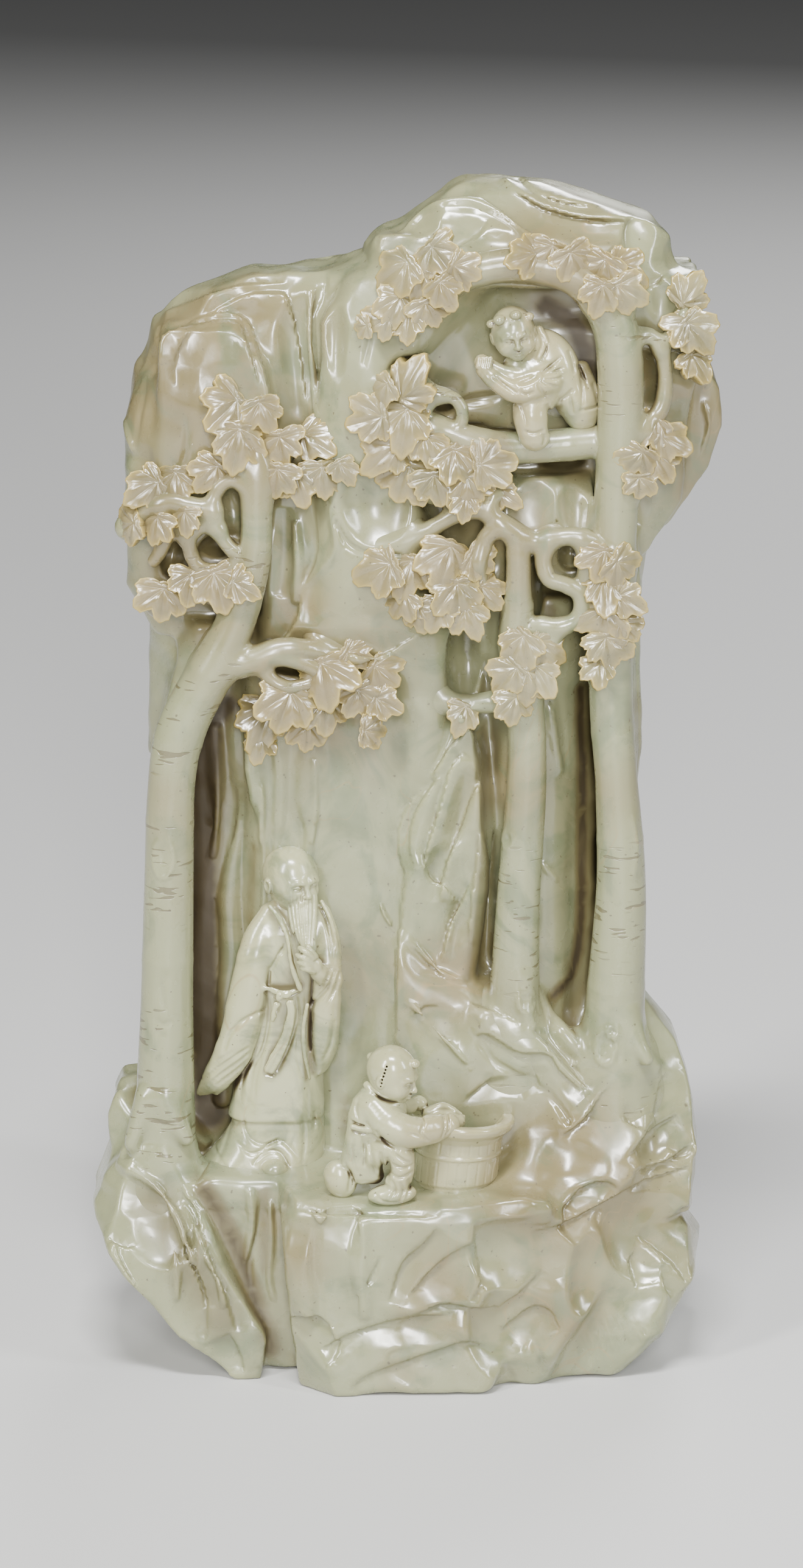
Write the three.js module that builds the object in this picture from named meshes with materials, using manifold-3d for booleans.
// Jade boulder carving: a garden scene cut from one stone. A bearded scholar stands on a terrace while an
// attendant kneels at a wash tub, and a boy sits in one of the broad-leaved trees that grow up the cliff.
// Millimetres, +Z up, the carving faces -Y, and the origin is at the middle of its underside.
import * as THREE from "three";
import { ConvexGeometry } from "three/addons/geometries/ConvexGeometry.js";
import { mergeVertices } from "three/addons/utils/BufferGeometryUtils.js";
import Module from "manifold-3d";

const wasm = await Module();
wasm.setup();

// Driving sizes, in millimetres.
const carvingHeight = 270;
const terraceHeight = 44.6;
const leafRadius = 6.9;
const scholarHeight = 77;
const attendantHeight = 36;
const treeBoyHeight = 34;
const tubHeight = 17;
const tubRadius = 9.4;
const tubRimRadius = 11.8;
const tubWall = 2.2;
const tubDepth = 9;

// Free forms keep their places as hundredths of the carving's height.
const share = carvingHeight / 100;
const terrace = terraceHeight / share;
const sink = 1.2;
const place = ([x, y, z]) => new THREE.Vector3(x, y, z).multiplyScalar(share);

// How rough the rock is cut, and how fine the round forms are.
const cornerCut = 0.27;
const roughness = 0.16;
const trunkSides = 7;
const branchSides = 5;

// A repeatable number from 0 to 1 for each whole number n.
function chance(n) {
  const s = Math.sin(n * 127.1 + 11.7) * 43758.5453;
  return s - Math.floor(s);
}

function closedSolid(geometry) {
  geometry.deleteAttribute("normal");
  geometry.deleteAttribute("uv");
  const merged = mergeVertices(geometry, 1e-3);
  const triVerts = new Uint32Array(merged.index.array);
  const vertProperties = new Float32Array(merged.attributes.position.array);
  const made = new wasm.Manifold(new wasm.Mesh({ numProp: 3, vertProperties, triVerts }));
  if (made.volume() > 0) return made;
  for (let i = 0; i < triVerts.length; i += 3) {
    [triVerts[i + 1], triVerts[i + 2]] = [triVerts[i + 2], triVerts[i + 1]];
  }
  return new wasm.Manifold(new wasm.Mesh({ numProp: 3, vertProperties, triVerts }));
}

// A faceted rock: the hull of uneven eight-sided rings, each given as [z, left, right, front, back].
function rockBlock(rings, seed) {
  const points = [];
  rings.forEach(([z, left, right, front, back], level) => {
    const cut = cornerCut * Math.min(right - left, back - front);
    const corners = [
      [left + cut, front], [right - cut, front], [right, front + cut], [right, back - cut],
      [right - cut, back], [left + cut, back], [left, back - cut], [left, front + cut],
    ];
    corners.forEach(([x, y], k) => {
      const pull = roughness * chance(seed * 37 + level * 8 + k);
      const middle = [(left + right) / 2, (front + back) / 2];
      points.push(place([x + (middle[0] - x) * pull, y + (middle[1] - y) * pull, z]));
    });
  });
  return closedSolid(new ConvexGeometry(points));
}

// A tapering limb along a smooth curve; flat is its thickness front to back as a share of its width.
function limb(path, radii, sides, flat = 1) {
  const curve = new THREE.CatmullRomCurve3(path, false, "centripetal");
  const steps = path.length - 1;
  const geometry = new THREE.CylinderGeometry(1, 1, 1, sides, steps);
  const position = geometry.attributes.position;
  const depthAxis = new THREE.Vector3(0, 1, 0);
  for (let i = 0; i < position.count; i++) {
    const t = Math.min(1, Math.max(0, 0.5 - position.getY(i)));
    const reach = t * (path.length - 1);
    const low = Math.min(path.length - 2, Math.floor(reach));
    const radius = THREE.MathUtils.lerp(radii[low], radii[low + 1], reach - low);
    const along = curve.getTangent(t);
    const across = new THREE.Vector3().crossVectors(along, depthAxis).normalize();
    const through = new THREE.Vector3().crossVectors(across, along).normalize();
    const point = curve.getPoint(t)
      .addScaledVector(across, position.getX(i) * radius)
      .addScaledVector(through, position.getZ(i) * radius * flat);
    position.setXYZ(i, point.x, point.y, point.z);
  }
  return closedSolid(geometry);
}

// An egg-shaped form of three half-sizes, turned by degrees about X, Y and Z.
function lump(centre, [a, b, c], [turnX, turnY, turnZ] = [0, 0, 0], around = 8, rows = 6) {
  const geometry = new THREE.SphereGeometry(1, around, rows);
  geometry.rotateX(Math.PI / 2);
  geometry.scale(a, b, c);
  const turn = new THREE.Euler(...[turnX, turnY, turnZ].map(THREE.MathUtils.degToRad));
  geometry.applyMatrix4(new THREE.Matrix4().makeRotationFromEuler(turn));
  geometry.translate(centre.x, centre.y, centre.z);
  return closedSolid(geometry);
}

// The rock itself: the cliff core, then what stands forward of it.
const rocks = {
  base: [[0, -13, 18, -12.6, 12], [4, -17, 22, -13.4, 14.5], [11, -20, 23.6, -13, 15.5],
    [terrace, -20.6, 23, -11.6, 15.5]],
  frontBlock: [[0, -9, 6, -16.9, -7], [9, -9.8, 7, -17, -7], [terrace, -10.6, 8, -16.6, -7]],
  frontRight: [[0, 0, 11.4, -13.8, -7], [3, 0, 13, -15, -7], [9, 1, 17, -15.2, -7], [14, 0, 17, -14.6, -7],
    [terrace, 0, 14, -14, -7]],
  leftToe: [[0, -14.6, -11.4, -13.6, -6], [5, -19.5, -11.9, -13.4, 4], [11, -26.6, -14, -12.4, 7],
    [15.5, -24.8, -15.5, -11.6, 8], [19, -22.8, -17.4, -10, 6]],
  leftKnob: [[14, -24.2, -18, -7.5, 6], [20.6, -25.3, -20.4, -6, 5], [23, -24.4, -21.6, -4, 4]],
  rightCorner: [[0, 9, 18, -10, 0], [3, 10, 21.6, -11.8, 2], [10, 12, 25.4, -11.6, 5], [15.4, 13, 23.8, -10.2, 5]],
  rightShoulder: [[13, 9, 24.4, -12, 6], [19, 12, 25, -10.6, 6], [23.4, 14, 24.6, -9, 6], [27.4, 15, 23.2, -7.6, 5],
    [31, 15.4, 20, -6, 4]],
  slope: [[14, 3, 22, -13.4, 0], [18.4, 8, 22, -12, 0], [22, 10, 21.6, -10.4, 0], [28, 12, 21, -8, 0]],
  hillock: [[14, -1.2, 18, -9.6, 2], [24, -1.2, 17.6, -10, 2], [30, -1.2, 12, -9.6, 2], [36.4, -1, 1.8, -7.6, 1]],
  lowerCore: [[12, -19, 20, -1.5, 15.5], [30, -19, 18.6, 0, 15], [46, -19.4, 18, 0.4, 14], [60, -20, 18, -0.5, 14]],
  upperCore: [[57, -20.4, 18, -1, 14], [66, -20.6, 19, -4, 14.4], [78, -21.4, 22, -5.8, 12.6],
    [88, -20.6, 22.6, -5.8, 8]],
  crown: [[86, -19.4, 22.6, -5.6, 8.4], [90, -13, 22.6, -5.4, 5.6], [94, -3, 21, -5.4, 4]],
  leftWall: [[14, -21.8, -18.8, -7.6, 4], [40, -21, -18.6, -7.6, 4], [54, -20.6, -17.6, -7.6, 4],
    [64, -18, -12.6, -7.6, 2]],
  rightWall: [[24, 16.6, 19.8, -7, 6], [46, 16.6, 19.4, -7.4, 6], [72, 16.4, 19.4, -7.6, 6]],
  pier: [[14, -8.8, 5.6, -6.2, 4], [30, -9.2, 5.8, -6, 4], [46, -9.8, 5.8, -6.6, 4], [58, -10.6, 6, -8, 4],
    [64, -11, 5, -9.4, 4], [70, -6.6, 3, -10, 4], [75.6, -2.2, 1, -9.6, 4]],
  grottoFold: [[16, -14.6, -7, -3.6, 4], [62, -14.8, -8, -4.4, 4]],
  shards: [[33, -1, 6, -7.4, 0], [46, 0, 7.4, -7.6, 0], [55, 3.6, 7, -7.4, 0], [61, 4.8, 6, -7, 0]],
  leftBack: [[50, -21.8, -15, 1, 12], [60, -21.4, -14, 0, 12], [66, -20.8, -12, -2, 12]],
  canopyRock: [[62.4, -20.6, -16, -5, 6], [66.6, -23, -11.4, -6.6, 7], [79, -23, -11, -7.8, 8],
    [84.6, -22.4, -11, -7.2, 7]],
  shoulder: [[70, -20.6, -11.6, -8, 0], [82, -20.5, -10.4, -8.8, 0], [86.8, -20.3, -11.2, -9.2, 0],
    [88.6, -19.8, -12.6, -8.4, 0]],
  shoulderTop: [[78, -22.6, -6, -6, 8], [87, -21.4, -5, -6, 6], [90, -19.4, -5, -5.4, 4], [92.6, -12, -4, -4.6, 3]],
  column: [[66, -7.4, -0.6, -9.4, 2], [80, -7.4, -0.8, -10, 2], [89, -7.2, -1, -9.6, 3], [93.6, -4.8, 0.6, -7.4, 2]],
  archShoulder: [[86.4, -3, 1.4, -8.8, 0], [91.4, -3, 6.6, -9.2, 0], [96, -2.4, 9, -8.8, 2]],
  dome: [[92, -2.6, 24, -9, 5], [94.6, -2, 22.8, -9.4, 4], [97, 0.4, 19.8, -7.6, 3], [99, 3, 13.6, -5, 2],
    [100, 4.6, 11, -2.4, 1]],
  rightCheek: [[69, 16, 20, -6.6, 6], [74, 16.2, 22.6, -6.6, 6], [84, 16.2, 24, -7, 7], [93, 16.4, 24.2, -8.4, 6]],
  rightSlab: [[71, 18, 21.6, -3.6, 4], [76, 18, 25, -3, 5], [79.4, 18, 26.4, -3, 6], [82.6, 18, 26.1, -3, 6],
    [87.4, 18, 24, -4, 6]],
  backRidge: [[0, -10, 2, 6, 15.6], [22, -12, 3, 7, 16.8], [62, -11, 3, 6, 15.4], [82, -9, 4, 4, 10]],
};

// Hollows cut into the rock by the same rings.
const hollows = {
  baseCleft: [[-2, -11.5, -10.2, -20, -11], [9, -13, -9.8, -20, -9.4], [terrace + 2, -15, -10.6, -20, -9.6]],
};

// Trunks and branches: the points they pass through and their radius at each.
const trunks = {
  left: {
    path: [[-20.2, -6.6, 14.5], [-20.2, -7.4, 20], [-19.9, -7.8, 31], [-19.6, -8.2, 42], [-19.3, -8.4, 50.5],
      [-18.4, -8.6, 55.4], [-16, -8.9, 60.2], [-13.7, -9.2, 65], [-12.2, -9.5, 71], [-12.4, -9.5, 76.5],
      [-13.8, -9.2, 79]],
    radii: [3.7, 2.6, 2.2, 2.05, 1.95, 2.05, 1.95, 1.6, 1.35, 1.1, 0.8],
  },
  middle: {
    path: [[9, -6.6, 26], [9.1, -7.4, 32], [9.4, -8, 41], [10, -8.2, 50.5], [9.9, -8.5, 57.5], [9.1, -8.9, 64],
      [8.6, -9.2, 69], [7.2, -9.4, 72.8], [4.4, -9.4, 73.6]],
    radii: [4, 2.4, 1.9, 1.65, 1.5, 1.65, 1.6, 1.3, 0.9],
  },
  right: {
    path: [[17.4, -6.6, 24], [17.5, -7.4, 31], [17.9, -8, 42], [17.4, -8.3, 51], [16.9, -8.3, 58], [16.9, -8.6, 68],
      [17.3, -8.8, 78], [17.4, -9.1, 85], [16.6, -9.6, 89.8], [13.8, -10, 93.2], [9.5, -10, 94.2], [5.4, -10, 93.6],
      [2, -9.8, 91.4]],
    radii: [3.8, 2.5, 2.05, 1.75, 1.8, 1.8, 1.85, 1.9, 1.8, 1.6, 1.4, 1.3, 0.9],
  },
};
const branches = {
  seat: { path: [[-1.2, -8.8, 81.8], [1.6, -9.2, 81.3], [5, -9.2, 79.8], [9, -8.8, 79], [16.4, -8, 79.4]],
    radii: [0.7, 0.9, 1.2, 1.3, 1.4] },
  seatTwig: { path: [[2, -9.2, 81], [4.4, -9.4, 78.4], [6, -9.4, 76]], radii: [0.8, 0.7, 0.6] },
  sweep: { path: [[-4.6, -8.8, 71.6], [-2, -9.6, 70], [1.4, -9.8, 70.6], [5, -9.8, 72.6], [8, -9.6, 75.6]],
    radii: [0.5, 0.7, 0.8, 0.7, 0.5] },
  crossTop: { path: [[8.6, -9.4, 71.8], [11, -9.6, 73], [13.2, -9.6, 71.6], [15.4, -9.6, 72.6], [17.4, -9.4, 70],
    [17.6, -9.4, 66]], radii: [1, 0.95, 0.85, 0.85, 0.8, 0.8] },
  crossLoop: { path: [[12.6, -9.6, 71.8], [12.4, -9.8, 68.8], [14.6, -9.8, 66.6], [14.4, -9.6, 64],
    [12, -9.4, 62.4]], radii: [0.9, 0.85, 0.8, 0.75, 0.7] },
  lower: { path: [[-15.6, -9, 60.6], [-12.6, -9.6, 61.4], [-10.4, -9.6, 62.4], [-7.6, -9.2, 62.2], [-4.6, -7, 60.6]],
    radii: [1.3, 1, 0.9, 0.8, 0.8] },
  lowerDrop: { path: [[-11.6, -9.6, 62], [-10.2, -9.6, 59.6], [-9, -8.6, 58]], radii: [0.8, 0.7, 0.7] },
  loopTop: { path: [[-12.4, -9.6, 75], [-13.6, -9.8, 77.4], [-16, -9.6, 77], [-17, -9.4, 74.6]],
    radii: [0.9, 0.8, 0.8, 0.8] },
  loopMiddle: { path: [[-12.6, -9.6, 69.6], [-14.4, -9.8, 71], [-15.8, -9.8, 71.2], [-17.4, -9.4, 73.6]],
    radii: [1, 0.8, 0.8, 0.8] },
  loopLow: { path: [[-15.6, -9.8, 71.2], [-17, -9.6, 69.4], [-17, -9, 66.4]], radii: [0.8, 0.75, 0.8] },
  rightLoop: { path: [[17.6, -8.9, 86.6], [19.6, -8.9, 88.2], [21.6, -8.2, 86.6], [21.8, -7.8, 83],
    [20.4, -7.8, 79.6]], radii: [1, 0.8, 0.7, 0.7, 0.8] },
  stump: { path: [[8, -7.8, 57.6], [5.4, -7.4, 57.2], [3.4, -7, 57.4]], radii: [1, 0.8, 0.7] },
};

// Leaf sprays: the middle, half width and half height, the leaves in each row from the top, the size of the
// leaves beside leafRadius, the way the tips point (degrees from straight down) and how far the spray faces right.
const sprays = {
  archLeft: { at: [1.8, -9.8, 91.8], spread: [3.6, 2.4], rows: [2, 3, 1], size: 1, lean: -14, face: -6 },
  archRight: { at: [16.4, -10.6, 92.8], spread: [2, 1.8], rows: [2, 1], size: 1.04, lean: 24, face: 10 },
  rightRim: { at: [23.2, -7.8, 86.6], spread: [0.7, 3], rows: [1, 1, 1], size: 0.86, lean: 8, face: 36 },
  rightLow: { at: [19, -10.6, 78.8], spread: [1.7, 1.6], rows: [1, 2], size: 0.94, lean: 14, face: 14 },
  seatLeft: { at: [0, -10.2, 82], spread: [3.2, 2.8], rows: [2, 3, 1], size: 1, lean: -24, face: -8 },
  underSeat: { at: [4.6, -10.6, 76.6], spread: [3, 1.4], rows: [3, 1], size: 1.06, lean: 8, face: 0 },
  sweepLeft: { at: [-0.4, -10.4, 67.8], spread: [1.9, 1.7], rows: [2, 1], size: 1.14, lean: -8, face: -6 },
  sweepRight: { at: [4.6, -11, 69], spread: [1.5, 1.9], rows: [1, 2], size: 1.16, lean: 4, face: 4 },
  middleTree: { at: [9.8, -10.6, 61.2], spread: [1.5, 2.4], rows: [2, 1, 1], size: 1.06, lean: -4, face: 0 },
  rightTree: { at: [17.2, -10.8, 66], spread: [1.4, 3.2], rows: [1, 2, 1], size: 1.06, lean: -6, face: 10 },
  leftCrown: { at: [-11.4, -9.8, 79.6], spread: [5, 1.8], rows: [3, 3], size: 1.06, lean: 4, face: 0 },
  leftRim: { at: [-20, -9, 74.8], spread: [2.4, 1.8], rows: [2, 2], size: 1, lean: -18, face: -16 },
  leftFoot: { at: [-17, -9.6, 67.8], spread: [3.4, 0.8], rows: [3], size: 1, lean: 6, face: -4 },
  lowerSpray: { at: [-7, -9.8, 59.2], spread: [4.4, 2], rows: [2, 3, 1], size: 1.04, lean: -4, face: 4 },
};

// A lobed leaf with a raised middle and a root that reaches back into the stone. tipTurn is in degrees from
// straight down, and face turns it to the right.
const leafLobes = [1, 0.66, 0.94, 0.62, 0.8, 0.4, 0.8, 0.62, 0.94, 0.66];
const leafRise = 0.3;
const leafCurl = 0.2;
const leafRoot = 1.25;
function leaf(centre, radius, tipTurn, face) {
  const count = leafLobes.length;
  const geometry = new THREE.SphereGeometry(1, count, 2);
  const position = geometry.attributes.position;
  for (let i = 0; i < position.count; i++) {
    const pole = position.getY(i);
    if (Math.abs(pole) > 0.5) {
      position.setXYZ(i, 0, pole > 0 ? -leafRise * radius : leafRoot * radius, 0);
      continue;
    }
    const angle = Math.atan2(position.getZ(i), position.getX(i));
    const k = Math.round((angle / (2 * Math.PI)) * count + count) % count;
    const reach = radius * leafLobes[k];
    position.setXYZ(i, reach * Math.sin(angle), k % 2 === 0 ? leafCurl * radius : 0, -reach * Math.cos(angle));
  }
  geometry.rotateY(THREE.MathUtils.degToRad(tipTurn));
  geometry.rotateZ(THREE.MathUtils.degToRad(face));
  geometry.translate(centre.x, centre.y, centre.z);
  return closedSolid(geometry);
}

// A spray is rows of leaves that fan out, each row lapping over the one above.
function leafSpray({ at, spread, rows, size, lean, face }, seed) {
  const turned = THREE.MathUtils.degToRad(face);
  return rows.flatMap((number, row) => {
    const down = rows.length === 1 ? 0 : 1 - (2 * row) / (rows.length - 1);
    return Array.from({ length: number }, (_, i) => {
      const across = number === 1 ? 0 : (2 * i) / (number - 1) - 1;
      const luck = chance(seed * 61 + row * 7 + i);
      const x = (across * (1 - 0.25 * Math.abs(down)) + 0.3 * (luck - 0.5)) * spread[0];
      const z = (down * (1 - 0.2 * Math.abs(across)) + 0.2 * (luck - 0.5)) * spread[1];
      const y = 0.7 * across * across - 0.5 * luck - 0.4 * (row % 2);
      const cos = Math.cos(turned);
      const sin = Math.sin(turned);
      const centre = place([at[0] + x * cos - y * sin, at[1] + y * cos + x * sin, at[2] + z]);
      const tipTurn = lean - 42 * across + 30 * (luck - 0.5);
      return leaf(centre, leafRadius * size * (0.92 + 0.2 * luck), tipTurn, face + 22 * across);
    });
  });
}

// Figures are lumps and limbs in hundredths of the figure's own height, from a point that it stands on.
function figure(foot, height, { lumps, limbs }) {
  const unit = height / 100;
  const local = ([x, y, z]) => foot.clone().add(new THREE.Vector3(x, y, z).multiplyScalar(unit));
  return [
    ...Object.values(lumps).map(({ at, size, turn, around, rows }) =>
      lump(local(at), size.map((s) => s * unit), turn, around, rows)),
    ...Object.values(limbs).map(({ path, radii, flat, sides }) =>
      limb(path.map(local), radii.map((r) => r * unit), sides, flat)),
  ];
}

const scholarForm = {
  lumps: {
    head: { at: [5.6, -1.6, 90], size: [8.6, 9, 10.4], turn: [-8, 12, 0], around: 10, rows: 7 },
    nose: { at: [9.6, -10, 88.6], size: [1.4, 2, 2.6], turn: [0, 0, 35], around: 5, rows: 3 },
    hand: { at: [11, -10.6, 64.6], size: [3.4, 2.6, 3.4], turn: [0, 30, 0], around: 6, rows: 4 },
    shoe: { at: [4, -11.6, 3], size: [5.4, 5.4, 3], around: 6, rows: 4 },
  },
  limbs: {
    gown: { path: [[-2.4, 0, -2], [-2, 0, 6], [1.6, 0.4, 18], [3.6, 0.6, 34], [4.4, 0.4, 50], [4.6, 0, 64],
      [4.8, 0, 76], [5.6, -0.4, 83]],
      radii: [18, 16.4, 13, 12, 12.4, 13.6, 13, 4.6], flat: 0.74, sides: 10 },
    coat: { path: [[3.2, -0.6, 17.6], [3.8, -0.6, 34], [4.6, -0.6, 54]], radii: [15, 13.4, 12.8],
      flat: 0.78, sides: 10 },
    leftSleeve: { path: [[-3, -2, 77], [-6.6, -3.6, 64], [-9.4, -4.4, 50], [-14, -4, 38], [-20.4, -2.8, 26.6]],
      radii: [6, 7, 7.4, 7, 2.4], flat: 0.66, sides: 7 },
    rightSleeve: { path: [[12.6, -1.6, 75], [16, -3, 64], [16.6, -4.4, 52], [15.6, -5, 40]], radii: [5.4, 6, 6, 3.4],
      flat: 0.7, sides: 7 },
    forearm: { path: [[18, -6, 55], [15.4, -9.4, 58], [11.4, -10.4, 64]], radii: [4.8, 4, 2.8], sides: 6 },
    beard: { path: [[9.6, -6.6, 83.6], [10.6, -8.8, 76], [10.8, -9.8, 67]], radii: [4.4, 3.4, 1.6],
      flat: 0.6, sides: 6 },
  },
};

const attendantForm = {
  lumps: {
    head: { at: [7, -1, 82], size: [18, 16.5, 16.5], turn: [0, 14, 0], around: 10, rows: 7 },
    nose: { at: [24.6, -3, 80], size: [3, 3, 3], around: 5, rows: 3 },
    topknot: { at: [19, -4, 94], size: [6, 5, 4.4], around: 6, rows: 3 },
    body: { at: [-5, 1, 55], size: [21, 18, 20], turn: [0, 24, 0] },
    knee: { at: [-27, -4, 13], size: [14, 11, 14], around: 7, rows: 5 },
    foot: { at: [3, -8, 5], size: [16, 10, 6], around: 7, rows: 4 },
    farHand: { at: [46, 4, 60], size: [12, 7, 7], turn: [0, -14, 0], around: 6, rows: 4 },
  },
  limbs: {
    tunic: { path: [[-4, 1, 52], [-7, 1, 36], [-12, 0, 16], [-13, 0, 8]], radii: [17, 19, 22, 16],
      flat: 0.8, sides: 8 },
    nearArm: { path: [[2, -11, 66], [12, -15, 46], [26, -12, 42], [42, -6, 50]], radii: [11, 13, 12, 7], sides: 7 },
    farArm: { path: [[10, 4, 64], [44, 5, 60]], radii: [10, 7], sides: 6 },
    shin: { path: [[6, -6, 36], [4, -9, 20], [1, -9, 4]], radii: [13, 12, 13], sides: 7 },
  },
};

const treeBoyForm = {
  lumps: {
    head: { at: [-24, -4, 62], size: [16.4, 16, 19], turn: [0, -6, 0], around: 10, rows: 7 },
    topknot: { at: [-20, -6, 81], size: [7, 6, 5], around: 6, rows: 3 },
    nose: { at: [-25, -20, 59], size: [2.6, 2.6, 3.2], around: 5, rows: 3 },
    body: { at: [2, 2, 34], size: [27, 18, 26], turn: [0, 28, 0], around: 9, rows: 6 },
    hand: { at: [-47, -8, 42], size: [7, 6, 7], around: 6, rows: 4 },
    skirt: { at: [20, 0, 8], size: [20, 15, 18], turn: [0, 30, 0], around: 7, rows: 5 },
    foot: { at: [-10, -8, -16], size: [9, 9, 5], around: 6, rows: 4 },
  },
  limbs: {
    farArm: { path: [[-14, -9, 30], [-32, -11, 24], [-46, -9, 38]], radii: [9, 8, 6], sides: 6 },
    nearArm: { path: [[8, -12, 40], [-10, -16, 26], [-36, -11, 32]], radii: [11, 9, 5], sides: 6 },
    leg: { path: [[-2, -8, 14], [-11, -10, 4], [-10, -8, -14]], radii: [12, 12, 10], sides: 7 },
    coatTail: { path: [[14, 0, 20], [26, 1, 10], [36, 2, 0]], radii: [15, 12, 8], sides: 7 },
  },
};

// Where each figure meets the stone.
const scholarFoot = [-11, -5, terrace];
const attendantFoot = [-1.4, -14.2, terrace];
const treeBoySeat = [12.6, -8.6, 80.2];
const tubPlace = [4.9, -10.7, terrace];

function stoodOn(point, depth) {
  return place(point).sub(new THREE.Vector3(0, 0, depth));
}

// A coopered tub with a flaring rim, turned about its own axis.
function washTub() {
  const floor = tubHeight - tubDepth;
  const outline = [
    [0, 0], [tubRadius, 0], [tubRadius, tubHeight * 0.5], [tubRadius + 0.5, tubHeight * 0.56],
      [tubRadius, tubHeight * 0.62],
    [tubRadius, tubHeight * 0.74], [tubRimRadius, tubHeight * 0.86], [tubRimRadius, tubHeight],
    [tubRadius - tubWall + 0.8, tubHeight - 0.5], [tubRadius - tubWall, floor], [0, floor],
  ].map(([r, z]) => new THREE.Vector2(r, z));
  const geometry = new THREE.LatheGeometry(outline, 16);
  geometry.rotateX(Math.PI / 2);
  const foot = stoodOn(tubPlace, 0.5);
  geometry.translate(foot.x, foot.y, foot.z);
  return closedSolid(geometry);
}

function rockMass() {
  const blocks = Object.values(rocks).map((rings, i) => rockBlock(rings, i + 1));
  const cuts = Object.values(hollows).map((rings, i) => rockBlock(rings, i + 71));
  return wasm.Manifold.union(blocks).subtract(wasm.Manifold.union(cuts));
}

function trees() {
  const scaled = ({ path, radii }, sides) => limb(path.map(place), radii.map((r) => r * share), sides);
  return [
    ...Object.values(trunks).map((trunk) => scaled(trunk, trunkSides)),
    ...Object.values(branches).map((branch) => scaled(branch, branchSides)),
  ];
}

function wholeCarving() {
  const leaves = Object.values(sprays).flatMap((spray, i) => leafSpray(spray, i + 1));
  const figures = [
    ...figure(place(scholarFoot), scholarHeight, scholarForm),
    ...figure(place(attendantFoot), attendantHeight, attendantForm),
    ...figure(place(treeBoySeat), treeBoyHeight, treeBoyForm),
  ];
  return wasm.Manifold.union([rockMass(), ...trees(), ...leaves, ...figures, washTub()]);
}

// The outer skin alone: where forms lap, joining them can seal tiny pockets of air between them.
function outerSkin(solid) {
  const { vertProperties, triVerts } = solid.getMesh();
  const parent = Uint32Array.from({ length: vertProperties.length / 3 }, (_, i) => i);
  const rootOf = (i) => {
    while (parent[i] !== i) i = parent[i] = parent[parent[i]];
    return i;
  };
  for (let t = 0; t < triVerts.length; t += 3) {
    parent[rootOf(triVerts[t + 1])] = rootOf(triVerts[t]);
    parent[rootOf(triVerts[t + 2])] = rootOf(triVerts[t]);
  }
  const skins = new Map();
  for (let t = 0; t < triVerts.length; t += 3) {
    const root = rootOf(triVerts[t]);
    if (!skins.has(root)) skins.set(root, []);
    skins.get(root).push(triVerts[t], triVerts[t + 1], triVerts[t + 2]);
  }
  const [largest] = [...skins.values()].sort((a, b) => b.length - a.length);
  const geometry = new THREE.BufferGeometry();
  geometry.setAttribute("position", new THREE.BufferAttribute(vertProperties, 3));
  geometry.setIndex(largest);
  return geometry;
}

const jade = new THREE.MeshStandardMaterial({ color: 0xc6cdb6, roughness: 0.28, metalness: 0 });
const geometry = outerSkin(wholeCarving());
geometry.computeBoundingBox();
const { min, max } = geometry.boundingBox;
geometry.translate(-(min.x + max.x) / 2, -(min.y + max.y) / 2, -min.z);

const carving = new THREE.Mesh(geometry, jade);
carving.name = "jade_boulder";
const group = new THREE.Group();
group.add(carving);

export default group;
